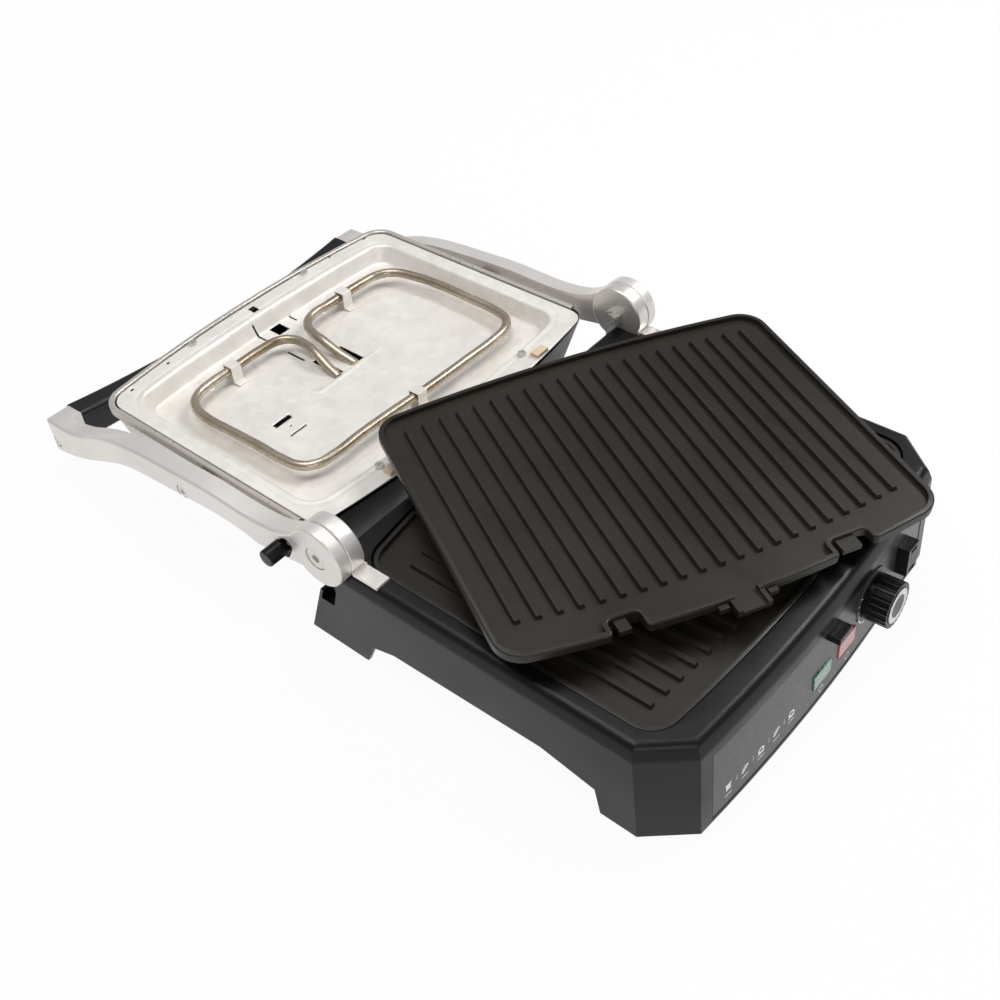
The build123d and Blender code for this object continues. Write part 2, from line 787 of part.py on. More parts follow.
def make_arm():
    """Left die-cast arm: waved bar, inward corner for the handle, round hinge end and screw recesses."""
    width = arm_outer_x - handle_half_length
    bar = Pos(-arm_outer_x, 0, 0) * extrude(arm_side_profile(), width, dir=(1, 0, 0))
    outer_edges = bar.faces().sort_by(Axis.X)[0].outer_wire().edges()
    free_edges = [edge for edge in outer_edges if edge.bounding_box().max.Y > arm_root_points[0][0]]
    bar = fillet(free_edges, arm_edge_radius)
    clear_inside = block(-arm_inner_x, 0, 60, handle_front_y, -10, cut_reach)
    bar = bar - clear_inside
    end_y = arm_nose_points[1][0]
    plan = block(-arm_outer_x, 0, 100, end_y, -10, cut_reach)
    far_corners = plan.edges().filter_by(Axis.Z).sort_by(Axis.Y)[-2:]
    plan = fillet(far_corners.sort_by(Axis.X)[:1], arm_end_plan_radius)
    bar = bar & plan
    bar = bar - rod_x(-hinge_split_x - 0.001, -100, hinge_y, hinge_z, hinge_disc_radius + 2 * fit_gap)
    disc = rod_x(-hinge_outer_x, -hinge_split_x, hinge_y, hinge_z, hinge_disc_radius)
    disc = fillet(disc.edges().sort_by(Axis.X)[0], hinge_disc_edge_radius)
    disc = chamfer(disc.edges().filter_by(GeomType.CIRCLE).sort_by(Axis.X)[-1], hinge_split_chamfer)
    arm = bar + disc
    arm = arm - rod_x(-cut_reach, -100, hinge_y, hinge_z, hinge_bolt_radius + running_gap)
    sink_x = -hinge_outer_x + countersink_depth
    arm = arm - rod_x(-cut_reach, sink_x, hinge_y, hinge_z, hinge_bolt_head_radius + 0.4)
    arm = arm - rod_x(-cut_reach, -100, lid_pivot_y, lid_pivot_z, lid_pivot_radius + running_gap)
    recess_x = -arm_outer_x + arm_pivot_recess
    arm = arm - rod_x(-cut_reach, recess_x, lid_pivot_y, lid_pivot_z, arm_pivot_head_radius + 0.4)
    rod_y = (handle_front_y + handle_back_y) / 2
    arm = arm - rod_x(-cut_reach, -100, rod_y, handle_rod_z, handle_screw_radius)
    arm = arm - rod_x(-cut_reach, -arm_outer_x + 3, rod_y, handle_rod_z, handle_screw_head_radius + 0.4)
    return arm


def lever_link(grow, x0, x1, turn=0.0):
    """Link of the lever from its pin to its knob, grown by a gap and turned about the pin."""
    radius = lever_link_radius + grow
    run_y = lever_knob_y - lever_pin_y
    run_z = lever_knob_z - lever_pin_z
    length = (run_y ** 2 + run_z ** 2) ** 0.5
    middle = Pos((x0 + x1) / 2, run_y / 2, run_z / 2) * Rot(degrees(atan(run_z / run_y)), 0, 0)
    link = middle * Box(x1 - x0, length, 2 * radius)
    link = link + rod_x(x0, x1, 0, 0, radius) + rod_x(x0, x1, run_y, run_z, radius)
    return Pos(0, lever_pin_y, lever_pin_z) * Rot(turn, 0, 0) * link


def cut_lever_recess(arm):
    """Recess and pin bore for the flat-open lever in the outer side of the left arm."""
    back_x = -lever_link_x + lever_link_thickness / 2 + lever_back_gap
    for share in (0, 0.5, 1):
        arm = arm - lever_link(lever_recess_gap, -cut_reach, back_x, share * lever_pull_angle)
    return arm - rod_x(-arm_outer_x + 1.5, -arm_inner_x - 3, lever_pin_y, lever_pin_z, lever_pin_radius)


def make_lever():
    """Flat-open lever: link hung on its pin in the arm, and a round knob outside the arm."""
    x0 = -lever_link_x - lever_link_thickness / 2
    knob_x1 = -arm_outer_x - 0.5
    link = lever_link(0, x0, x0 + lever_link_thickness)
    stem = rod_x(knob_x1 - 1, x0 + 1, lever_knob_y, lever_knob_z, lever_link_radius)
    knob = rod_x(knob_x1 - lever_knob_length, knob_x1, lever_knob_y, lever_knob_z, lever_knob_radius)
    knob = fillet(knob.edges().sort_by(Axis.X)[0], 1.2)
    bore = rod_x(-cut_reach, -100, lever_pin_y, lever_pin_z, lever_pin_radius + running_gap)
    return link + stem + knob - bore


# Handle


def handle_band():
    """Arched bar seen from the front, lower in the middle than at its ends."""
    x = handle_half_length
    low_z = handle_bottom_z
    top = ThreePointArc((-x, 0, handle_top_z), (0, 0, handle_top_z - handle_arch), (x, 0, handle_top_z))
    low = ThreePointArc((x, 0, low_z), (0, 0, low_z - handle_under_arch), (-x, 0, low_z))
    return make_face([top, low, Line(top @ 1, low @ 0), Line(low @ 1, top @ 0)])


def make_handle_grip():
    """Black grip between the arm corners, bored for its steel rod."""
    grip = Pos(0, handle_front_y, 0) * extrude(handle_band(), handle_back_y - handle_front_y, dir=(0, 1, 0))
    grip = fillet(grip.edges().filter_by(GeomType.CIRCLE), handle_edge_radius)
    return grip - rod_x(-150, 150, (handle_front_y + handle_back_y) / 2, handle_rod_z, handle_rod_radius)


# Lid


def lid_outline(inset, near_inset=None):
    """Plan of the lid at its rim."""
    near = inset if near_inset is None else near_inset
    near_radius = max(lid_near_radius - inset, lid_inner_near_radius)
    far_radius = max(lid_far_radius - inset, lid_inner_far_radius)
    return bowed_outline(lid_half_width - inset, lid_near_y + near, lid_far_y - inset,
                         lid_near_sag, lid_far_sag, near_radius, far_radius)


def lid_bowl_outline(inset):
    """Plan of the lid pan's bowl, its upper edge shrunk by an inset."""
    near_y = lid_near_y + bowl_inset + lid_bowl_near_step + inset
    far_y = lid_far_y - bowl_inset - lid_bowl_far_step - inset
    return bowed_outline(lid_half_width - bowl_inset - inset, near_y, far_y,
                         lid_near_sag - 4, lid_far_sag - 2,
                         lid_bowl_near_radius - inset, lid_bowl_far_radius - inset)


def lid_body(inset):
    """Solid form of the lid below its rim, tapering towards the table."""
    top = lid_outline(lid_cover_inset_top + inset)
    bottom = bowed_outline(lid_half_width - lid_cover_bottom_inset - inset, lid_near_lean_y + inset,
                           lid_far_y - lid_cover_bottom_inset - inset, lid_near_bottom_sag, lid_far_sag,
                           lid_near_radius, lid_far_radius)
    bottom = Pos(0, 0, lid_cover_bottom_z + inset) * bottom
    return loft([bottom, Pos(0, 0, lid_cover_top_z) * top], ruled=True)


def make_lid_shells():
    """Brushed outer cover and the black hinge-side panel that closes it."""
    outer = lid_body(0)
    outer = fillet(outer.faces().sort_by(Axis.Z)[0].outer_wire().edges(), lid_cover_edge_radius)
    thin = lid_body(lid_cover_wall)
    thick = lid_body(lid_panel_wall)
    far_part = block(-cut_reach, cut_reach, lid_split_y, 500, -20, cut_reach)
    near_part = block(-cut_reach, cut_reach, 0, lid_split_y - lid_joint_gap, -20, cut_reach)
    cover = (outer & far_part) - thin
    panel = (outer & near_part) - thick
    collar = lid_outline(lid_cover_inset_top) - lid_outline(lip_width - lid_joint_gap)
    collar = slab(collar, lid_cover_top_z - 0.5, lid_flange_z - sheet)
    panel = panel + (collar & block(-cut_reach, cut_reach, 0, lid_rim_start_y - lid_joint_gap, 0, cut_reach))
    for side in (-1, 1):
        cover = cover - rod_x(side * 100, side * cut_reach, lid_pivot_y, lid_pivot_z, lid_boss_radius)
    return cover, panel


def make_lid_rim():
    """Raised silver lip on the far side and both flanks of the lid."""
    ring = lid_outline(0) - lid_outline(lip_width)
    rim = slab(ring, lid_rim_z - lip_height, lid_rim_z)
    rim = fillet(rim.edges().group_by(Axis.Z)[-1], lip_edge_radius)
    return rim - block(-cut_reach, cut_reach, 0, lid_rim_start_y, 0, cut_reach)


def make_lid_frame():
    """Black inner ring that carries the rim, the pan and both pivots."""
    top = lid_flange_z - sheet
    inner = lid_outline(frame_inner_inset)
    upper = lid_outline(lip_width, lid_cover_inset_top + lid_panel_wall + lid_joint_gap) - inner
    lower = lid_outline(frame_outer_inset, frame_near_inset) - inner
    frame = slab(upper, lid_cover_top_z, top) + slab(lower, lid_cover_top_z - frame_depth, lid_cover_top_z)
    for side in (-1, 1):
        boss_x = side * (lid_half_width + lid_boss_proud)
        boss_end = side * (lid_half_width - lid_boss_depth)
        frame = frame + rod_x(boss_x, boss_end, lid_pivot_y, lid_pivot_z, lid_boss_radius)
        bore_start = side * (lid_half_width - lid_bore_inner_reach)
        bore_end = side * (lid_half_width + lid_bore_outer_reach)
        frame = frame - rod_x(bore_start, bore_end, lid_pivot_y, lid_pivot_z, lid_pivot_radius)
    for x, y in lid_screw_places():
        boss = Cylinder(screw_boss_radius, screw_boss_depth)
        frame = frame + Pos(x, y, top - screw_boss_depth / 2) * boss
        frame = frame - Pos(x, y, top) * Cylinder(screw_radius, 30)
    return frame


def lid_screw_places():
    """Screws that hold the lid pan."""
    return [(-lid_screw_spacing_far, lid_screw_far_y), (lid_screw_spacing_far, lid_screw_far_y),
            (-lid_screw_spacing_near, lid_screw_near_y), (lid_screw_spacing_near, lid_screw_near_y)]


def make_lid_pan():
    """Galvanised lid pan with its slots and screw holes."""
    flange = lid_outline(lip_width + lip_gap, 0.5)
    pan = make_pan(flange, lid_bowl_outline, lid_flange_z, lid_bowl_run)
    for x, y in lid_screw_places():
        pan = pan - Pos(x, y, lid_flange_z) * Cylinder(screw_radius, 6)
    floor_z = lid_flange_z - bowl_depth
    for slot in leg_slots(lid_element_y + element_depth - element_leg_length, floor_z):
        pan = pan - slot
    x0, x1 = pan_window_x
    y0, y1 = pan_window_y
    return pan - block(x0, x1, y0, y1, floor_z - 3, floor_z + 1)


# Assembly of the nodes

housing = make_base_housing()
keep("base_housing", housing)
keep("control_panel", make_control_panel())

bottom_cover = make_bottom_cover()
feet = make_feet()
keep("rubber_feet", *feet)
cover_screws = []
for screw_x, screw_y in cover_screw_places():
    head = Cylinder(screw_head_radius, screw_head_height)
    head = Pos(screw_x, screw_y, foot_height - screw_head_height / 2) * head
    shank = Pos(screw_x, screw_y, foot_height + cover_sheet / 2) * Cylinder(screw_radius, cover_sheet)
    cover_screws.append(head + shank)
for one in cover_screws:
    bottom_cover = bottom_cover - one
keep("cover_screws", *cover_screws)
keep("bottom_cover", bottom_cover)
keep("cord_gland", make_cord_gland())
keep("terminal_block", make_terminal_block())

# Lower plate and what lies under it
lower_plate = Pos(0, lower_plate_y, lower_plate_top_z) * Rot(0, 0, 180) * make_plate(False)
keep("lower_plate", lower_plate)
loose_pose = Pos(loose_plate_x, loose_plate_y, loose_plate_top_z) * Rot(0, 0, loose_plate_turn)
loose_pose = loose_pose * Rot(loose_plate_pitch, 0, 0) * Rot(0, loose_plate_roll, 0)
keep("upper_plate", loose_pose * make_plate(True))


def lower_bowl_outline(inset):
    """Plan of the lower pan's bowl, its upper edge shrunk by an inset."""
    return lower_plate_outline(bowl_inset + inset)


lower_floor_z = lower_flange_z - bowl_depth
lower_flange = lower_plate_outline(lower_flange_inset)
lower_pan = make_pan(lower_flange, lower_bowl_outline, lower_flange_z, lower_bowl_run)
for slot in leg_slots(lower_element_y + element_depth - element_leg_length, lower_floor_z):
    lower_pan = lower_pan - slot
keep("lower_pan", lower_pan)
keep("lower_element", make_element(lower_element_y, lower_element_y + element_depth, lower_element_z, 1))
keep("lower_element_clips", *make_clips(lower_element_y, lower_floor_z, lower_element_z))

# Hinges
bracket = make_hinge_bracket()
bolt = make_hinge_bolt()
nut = make_hinge_nut()
keep("hinge_bracket_left", bracket)
keep("hinge_bracket_right", mirrored(bracket))
keep("hinge_bolts", bolt, mirrored(bolt))
keep("hinge_nuts", nut, mirrored(nut))

# Front controls
knob = front_cylinder(knob_radius, knob_standoff, knob_standoff + knob_length)
for flute in range(knob_flute_count):
    groove = Cylinder(knob_flute_radius, knob_length)
    groove = Pos(knob_radius + 0.6, 0, knob_standoff + knob_length / 2 + 3) * groove
    knob = knob - Rot(0, 0, flute * 360 / knob_flute_count) * groove
knob_end = knob_standoff + knob_length
knob = knob - front_cylinder(knob_cap_radius, knob_end - knob_cap_height, knob_end + 1)
knob = knob - front_cylinder(thermostat_shaft_radius, -1, knob_length - 4)
keep("temperature_knob", on_front(knob_x, knob_z, knob))
cap = front_cylinder(knob_cap_radius, knob_end - knob_cap_height, knob_end + 0.4)
keep("knob_cap", on_front(knob_x, knob_z, cap))
dial = front_cylinder(dial_radius, -panel_inset - 0.4, dial_thickness - panel_inset)
dial = dial - front_cylinder(thermostat_shaft_radius + shaft_clearance, -3, 3)
dial_inset = panel_inset - dial_back_gap
dial_back = loft([base_outline(-2, dial_inset), base_outline(bevel_z + 2, dial_inset)], ruled=True)
keep("dial_plate", on_front(knob_x, knob_z, dial) - dial_back)
shaft = front_cylinder(thermostat_shaft_radius, -thermostat_shaft_depth, knob_length - 4)
keep("thermostat_shaft", on_front(knob_x, knob_z, shaft))
thermostat = front_block(thermostat_width, thermostat_height, -thermostat_depth, -1.0)
bore_depth = thermostat_shaft_depth + fit_gap
thermostat = thermostat - front_cylinder(thermostat_shaft_radius + running_gap, -bore_depth, 0)
front_wall_solid = base_body(0, base_bottom_z - 2, deck_z)
front_wall_solid = front_wall_solid - base_body(housing_wall, base_bottom_z - 3, deck_z + 1)
keep("thermostat_body", on_front(knob_x, knob_z, thermostat) - front_wall_solid)


def make_button(width, height, reach):
    """Push button on its own Z: cap, retaining flange and guide stem."""
    back = -housing_wall - 1
    cap_body = front_block(width, height, back, reach)
    flange = front_block(width + button_flange_step, height + 4, back - button_flange, back)
    stem = front_cylinder(button_stem_radius, -button_guide_depth - 1.5, back + 1)
    return cap_body + flange + stem


def make_guide(width, height):
    """Guide box behind a button, open to the front, with a bore for the stem."""
    outer = front_block(width + button_flange_step + 6, height + 10, -button_guide_depth - 2, -1)
    inner = front_block(width + button_flange_step + 2, height + 6, -button_guide_depth, 0)
    return outer - inner - front_cylinder(button_stem_radius + button_gap / 2, -30, 0)


def make_button_spring():
    """Return spring round the stem, drawn as a thin tube of its outer size."""
    z0 = -button_guide_depth + 0.1
    z1 = -housing_wall - 1 - button_flange - 0.1
    return front_cylinder(spring_radius, z0, z1) - front_cylinder(spring_radius - spring_wall, z0 - 1, z1 + 1)


release_button = make_button(release_width, release_height, release_reach)
power_button = make_button(power_width, power_height, power_reach)
for side in (-1, 1):
    step = front_block(power_width / 2, power_height * 0.12, power_reach - 3, power_reach + 1)
    power_button = power_button - Pos(0, side * power_height * 0.36, 0) * step
keep("plate_release_button", on_front(release_x, release_z, release_button))
keep("power_button", on_front(power_x, power_z, power_button))
release_guide = make_guide(release_width, release_height)
keep("release_button_guide", on_front(release_x, release_z, release_guide) - front_wall_solid)
switch_body = make_guide(power_width, power_height)
keep("power_switch_body", on_front(power_x, power_z, switch_body) - front_wall_solid)
keep("release_button_spring", on_front(release_x, release_z, make_button_spring()))
keep("power_button_spring", on_front(power_x, power_z, make_button_spring()))

lens = front_block(lens_width, lens_height, -housing_wall - 1, lens_proud)
lens = chamfer(lens.edges().group_by(Axis.Z)[-1], 0.4)
lamp = front_block(lens_width - 4, lens_height - 3, -housing_wall - 1 - lamp_depth, -housing_wall - 1)
keep("lens_green", on_front(green_lens_x, green_lens_z, lens))
keep("lens_red", on_front(red_lens_x, red_lens_z, lens))
keep("indicator_lamps", on_front(green_lens_x, green_lens_z, lamp), on_front(red_lens_x, red_lens_z, lamp))

# Latch bar, sliding sideways behind the front wall
latch_y = lower_plate_y - plate_half_depth - latch_stand_back
latch_y0 = latch_y - latch_width / 2
latch = block(-latch_half_length, latch_half_length, latch_y0, latch_y0 + latch_width,
              latch_z, latch_z + latch_height)
for side in (-1, 1):
    tongue_x = side * latch_tongue_x
    plate_edge = lower_plate_y - plate_half_depth + plain_edge_sag * (latch_tongue_x / plate_half_width) ** 2
    tip_y = plate_edge - 2 * fit_gap
    x0 = tongue_x - latch_tongue_width / 2
    x1 = tongue_x + latch_tongue_width / 2
    latch = latch + block(x0, x1, latch_y0, tip_y, latch_z, latch_z + 3)
    latch = latch + block(x0, x1, tip_y - latch_width / 2, tip_y, latch_z, deck_z - deck_thickness - 0.5)
keep("plate_latch_bar", latch)

# Arms, handle and lever
arm = make_arm()
keep("arm_right", mirrored(arm))
keep("arm_left", cut_lever_recess(arm))
keep("flat_open_lever", make_lever())
keep("lever_pin", rod_x(-arm_outer_x + 1.5, -arm_inner_x - 3, lever_pin_y, lever_pin_z, lever_pin_radius))
handle_mid_y = (handle_front_y + handle_back_y) / 2
rod_end_x = handle_half_length - handle_screw_depth
keep("handle_grip", make_handle_grip())
keep("handle_rod", rod_x(-rod_end_x, rod_end_x, handle_mid_y, handle_rod_z, handle_rod_radius))
for side in (-1, 1):
    head_x = side * (arm_outer_x - 0.6)
    head = rod_x(head_x, side * (arm_outer_x - 3), handle_mid_y, handle_rod_z, handle_screw_head_radius)
    shank = rod_x(side * (arm_outer_x - 2), side * rod_end_x, handle_mid_y, handle_rod_z, handle_screw_radius)
    keep("handle_screws", head + shank)

# Lid
cover, hinge_side_panel = make_lid_shells()
lid_frame = make_lid_frame()
lid_pan = make_lid_pan()
keep("lid_cover", cover)
keep("lid_hinge_side_panel", hinge_side_panel)
keep("lid_rim", make_lid_rim())
keep("lid_frame", lid_frame)
keep("lid_pan", lid_pan)
keep("lid_element", make_element(lid_element_y, lid_element_y + element_depth, lid_element_z, 1))
lid_floor_z = lid_flange_z - bowl_depth
keep("lid_element_clips", *make_clips(lid_element_y, lid_floor_z, lid_element_z))
for place_x, place_y in lid_screw_places():
    keep("lid_pan_screws", screw(place_x, place_y, lid_flange_z))
for place_x in insulator_x:
    keep("insulator_blocks", block(place_x - insulator_width / 2, place_x + insulator_width / 2,
                                   insulator_y - insulator_depth / 2, insulator_y + insulator_depth / 2,
                                   lid_flange_z, lid_flange_z + insulator_height))
for side in (-1, 1):
    head_x = side * (arm_outer_x - 0.4)
    seat_x = side * (arm_outer_x - arm_pivot_recess + 0.1)
    head = rod_x(head_x, seat_x, lid_pivot_y, lid_pivot_z, arm_pivot_head_radius)
    socket = extrude(RegularPolygon(arm_pivot_socket_radius, 6), arm_pivot_socket_depth, both=True)
    head = head - Pos(head_x, lid_pivot_y, lid_pivot_z) * Rot(0, 90, 0) * socket
    shank_end = side * (lid_half_width - lid_boss_depth + 1)
    shank = rod_x(side * (arm_outer_x - 1), shank_end, lid_pivot_y, lid_pivot_z, lid_pivot_radius)
    keep("lid_pivot_screws", head + shank)
    bush_x = side * (lid_half_width + lid_boss_proud)
    bush = rod_x(bush_x, side * (arm_inner_x - fit_gap), lid_pivot_y, lid_pivot_z, lid_bush_radius)
    bore = rod_x(side * 100, side * cut_reach, lid_pivot_y, lid_pivot_z, lid_pivot_radius)
    keep("lid_pivot_bushes", bush - bore)

os.makedirs("parts", exist_ok=True)
for name, solids in nodes.items():
    flat = [one for solid in solids for one in solid.solids()]
    shape = flat[0] if len(flat) == 1 else Compound(children=flat)
    export_step(shape, f"parts/{name}.step")
    print(name, len(flat), round(sum(one.volume for one in flat), 1))
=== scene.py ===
from math import cos, exp, hypot, radians, sin

import bmesh
import bpy
from mathutils import Matrix, Vector


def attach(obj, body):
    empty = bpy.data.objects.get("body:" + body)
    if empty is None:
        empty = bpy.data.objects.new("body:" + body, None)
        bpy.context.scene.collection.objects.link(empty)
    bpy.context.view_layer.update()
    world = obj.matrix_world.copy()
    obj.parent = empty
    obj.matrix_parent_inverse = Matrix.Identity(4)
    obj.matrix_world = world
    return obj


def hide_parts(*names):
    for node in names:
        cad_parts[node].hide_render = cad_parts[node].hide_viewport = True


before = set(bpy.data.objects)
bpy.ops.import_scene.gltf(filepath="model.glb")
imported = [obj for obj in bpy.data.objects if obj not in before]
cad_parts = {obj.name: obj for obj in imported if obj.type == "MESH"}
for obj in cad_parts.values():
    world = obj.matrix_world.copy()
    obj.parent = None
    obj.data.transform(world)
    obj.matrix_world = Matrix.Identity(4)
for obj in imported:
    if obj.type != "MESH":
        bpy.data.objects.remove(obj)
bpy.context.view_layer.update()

# View: the opened grill seen from above its left front corner, the lid lying away to the left
# and the controls at the lower right. One fixed camera without shift.

view_place = Vector((-0.4652, -0.3207, 0.6127))
view_yaw = radians(46.989)
view_pitch = radians(43.408)
view_roll = radians(-4.788)
view_ahead = Vector((sin(view_yaw) * cos(view_pitch), cos(view_yaw) * cos(view_pitch), -sin(view_pitch)))
level_right = Vector((cos(view_yaw), -sin(view_yaw), 0))
level_up = level_right.cross(view_ahead)
view_right = cos(view_roll) * level_right + sin(view_roll) * level_up
view_up = -sin(view_roll) * level_right + cos(view_roll) * level_up
view_data = bpy.data.cameras.new("view")
view_data.sensor_fit = "HORIZONTAL"
view_data.sensor_width = 36
view_data.lens = 43.85
view_data.clip_start = 0.01
view = bpy.data.objects.new("view", view_data)
bpy.context.scene.collection.objects.link(view)
view.matrix_world = Matrix((view_right, view_up, -view_ahead)).transposed().to_4x4()
view.location = view_place
bpy.context.scene.camera = view
bpy.context.scene.view_settings.view_transform = "Standard"

# Worktop and light: a plain white sheet under and behind the grill, lit by a pale room and by
# soft lamps overhead and high on the right, which draw the long highlights on the black edges.


class Wire:
    """One output of a shader node, so that a finish is written as sums of its patterns."""

    tree = None

    def __init__(self, socket):
        self.socket = socket

    @classmethod
    def node(cls, kind, settings, values, output=0):
        made = cls.tree.nodes.new("ShaderNode" + kind)
        for name, value in settings.items():
            if name == "stops":
                while len(made.color_ramp.elements) < len(value):
                    made.color_ramp.elements.new(0.5)
                for stop, (place, colour) in zip(made.color_ramp.elements, value):
                    stop.position = place
                    stop.color = colour
            else:
                setattr(made, name, value)
        for name, value in values.items():
            if isinstance(value, Wire):
                cls.tree.links.new(value.socket, made.inputs[name])
            else:
                made.inputs[name].default_value = value
        return cls(made.outputs[output]) if made.outputs else None

    @classmethod
    def reckon(cls, operation, *terms):
        return cls.node("Math", {"operation": operation}, dict(enumerate(terms)))

    def __add__(self, other):
        return Wire.reckon("ADD", self, other)

    def __sub__(self, other):
        return Wire.reckon("SUBTRACT", self, other)

    def __rsub__(self, other):
        return Wire.reckon("SUBTRACT", other, self)

    def __mul__(self, other):
        return Wire.reckon("MULTIPLY", self, other)

    def __truediv__(self, other):
        return Wire.reckon("DIVIDE", self, other)

    __radd__ = __add__
    __rmul__ = __mul__


def open_finish(name):
    """Starts an empty material, which the next nodes go into."""
    material = bpy.data.materials.new(name)
    material.use_nodes = True
    material.node_tree.nodes.clear()
    Wire.tree = material.node_tree
    return material


def paint(red, green, blue):
    """A colour from its 0 to 255 values, as light."""
    parts = [value / 255 for value in (red, green, blue)]
    return tuple([p / 12.92 if p <= 0.04045 else ((p + 0.055) / 1.055) ** 2.4 for p in parts] + [1.0])


def seen_plainly():
    """One where a ray comes from the eye, off something shiny or through something clear."""
    eye = Wire.node("LightPath", {}, {}, "Is Camera Ray")
    shiny = Wire.node("LightPath", {}, {}, "Is Glossy Ray")
    clear = Wire.node("LightPath", {}, {}, "Is Transmission Ray")
    return Wire.node("Clamp", {}, {0: eye + shiny + clear})


worktop_reach = 6.0
worktop_white = open_finish("worktop_white")
matt = Wire.node("BsdfDiffuse", {}, {"Color": paint(240, 240, 241)})
bright = Wire.node("Emission", {}, {"Color": (1, 1, 1, 1), "Strength": 1.0})
worktop_skin = Wire.node("MixShader", {}, {0: seen_plainly() * 0.95, 1: matt, 2: bright})
Wire.node("OutputMaterial", {}, {"Surface": worktop_skin})
worktop_mesh = bpy.data.meshes.new("worktop")
worktop_corners = [(-worktop_reach, -worktop_reach, 0), (worktop_reach, -worktop_reach, 0),
                   (worktop_reach, worktop_reach, 0), (-worktop_reach, worktop_reach, 0)]
worktop_mesh.from_pydata(worktop_corners, [], [(0, 1, 2, 3)])
worktop_mesh.materials.append(worktop_white)
worktop = bpy.data.objects.new("worktop", worktop_mesh)
bpy.context.scene.collection.objects.link(worktop)

room = bpy.data.worlds.new("pale_room")
bpy.context.scene.world = room
room.use_nodes = True
room.node_tree.nodes.clear()
Wire.tree = room.node_tree
dim = Wire.node("Background", {}, {"Color": (0.93, 0.95, 1.0, 1), "Strength": 0.33})
white = Wire.node("Background", {}, {"Color": (1, 1, 1, 1), "Strength": 1.0})
camera_only = Wire.node("LightPath", {}, {}, "Is Camera Ray")
Wire.node("OutputWorld", {}, {"Surface": Wire.node("MixShader", {}, {0: camera_only, 1: dim, 2: white})})


def soft_lamp(name, place, aim, width, height, power):
    """A large soft lamp that looks at a point."""
    data = bpy.data.lights.new(name, "AREA")
    data.shape = "RECTANGLE"
    data.size = width
    data.size_y = height
    data.energy = power
    lamp = bpy.data.objects.new(name, data)
    bpy.context.scene.collection.objects.link(lamp)
    lamp.location = place
    lamp.rotation_euler = (Vector(aim) - Vector(place)).to_track_quat("-Z", "Y").to_euler()


soft_lamp("overhead", (-0.1, 0.45, 1.9), (0, 0.1, 0), 1.3, 0.9, 17)
soft_lamp("right_high", (1.15, -0.4, 1.45), (0, 0, 0.05), 0.8, 0.45, 16)
soft_lamp("front_left", (-1.2, -1.2, 0.9), (0, 0, 0.05), 1.0, 0.8, 5.5)

# Base housing: one black polypropylene moulding with a fine spark-eroded grain, a bevelled rim
# round the plate, sloping front and cut-away sides. Its handled edges are rubbed smoother.


def place():
    """The point of the surface, in metres, in the piece's own frame."""
    return Wire.node("TexCoord", {}, {}, "Object")


def grain(scale, detail=2.0, stretch=(1, 1, 1), where=None):
    """Cloudy pattern from 0 to 1, with about this many lumps to the metre."""
    turned = Wire.node("Mapping", {}, {"Vector": where or place(), "Scale": stretch})
    return Wire.node("TexNoise", {}, {"Vector": turned, "Scale": scale, "Detail": detail})


def span(value, low, high, to_low=0.0, to_high=1.0):
    """The value moved from one span to another and held inside it."""
    return Wire.node("MapRange", {}, {0: value, 1: low, 2: high, 3: to_low, 4: to_high})


def blend_colours(share, first, second):
    """The first colour going over into the second."""
    return Wire.node("Mix", {"data_type": "RGBA"}, {0: share, 6: first, 7: second}, 2)


def close_finish(colour, roughness, relief=None, depth=0.0001, **plain):
    """Ends the open material: varying colour, roughness and relief, the rest plain numbers."""
    values = {"Base Color": colour, "Roughness": roughness}
    for name, value in plain.items():
        values[name.replace("_", " ").title().replace("Ior", "IOR")] = value
    if relief is not None:
        values["Normal"] = Wire.node("Bump", {}, {"Height": relief, "Strength": 1.0, "Distance": depth})
    Wire.node("OutputMaterial", {}, {"Surface": Wire.node("BsdfPrincipled", {}, values)})


def dress(node, material):
    """Gives a node of the model its finish."""
    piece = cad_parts[node]
    piece.data.materials.clear()
    piece.data.materials.append(material)
    return piece


def eased(node, body, material, width, angle=30, rounds=3):
    """A node's own form with its sharp edges rounded, standing for that node."""
    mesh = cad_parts[node].data.copy()
    mesh.materials.clear()
    mesh.materials.append(material)
    form = bmesh.new()
    form.from_mesh(mesh)
    bmesh.ops.remove_doubles(form, verts=form.verts, dist=0.00002)
    bmesh.ops.dissolve_limit(form, angle_limit=radians(0.6), verts=form.verts, edges=form.edges)
    for face in form.faces:
        face.smooth = True
    for edge in form.edges:
        edge.smooth = not (edge.is_manifold and edge.calc_face_angle(0) > radians(angle))
    form.to_mesh(mesh)
    form.free()
    piece = bpy.data.objects.new(node + "_eased", mesh)
    bpy.context.scene.collection.objects.link(piece)
    bevel = piece.modifiers.new("edge_round", "BEVEL")
    bevel.width = width
    bevel.segments = rounds
    bevel.limit_method = "ANGLE"
    bevel.angle_limit = radians(angle)
    bevel.use_clamp_overlap = True
    bevel.harden_normals = True
    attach(piece, body)
    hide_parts(node)
    return piece


housing_black = open_finish("housing_black")
fine = grain(2600, 2)
clouds = grain(26, 3)
rubbed = span(grain(9, 4), 0.45, 0.7)
close_finish(blend_colours(clouds, paint(13, 12, 12), paint(20, 19, 18)),
             span(clouds, 0.3, 0.7, 0.30, 0.40) - rubbed * 0.05, fine + grain(900, 1) * 0.5, 0.00005,
             specular_ior_level=0.26)
eased("base_housing", "base", housing_black, 0.0007)

# Underside: a bent steel cover with vent slots inside the walls, four turned rubber feet, the
# screws that hold it, the cord bush at the rear and the ceramic terminal block above it.

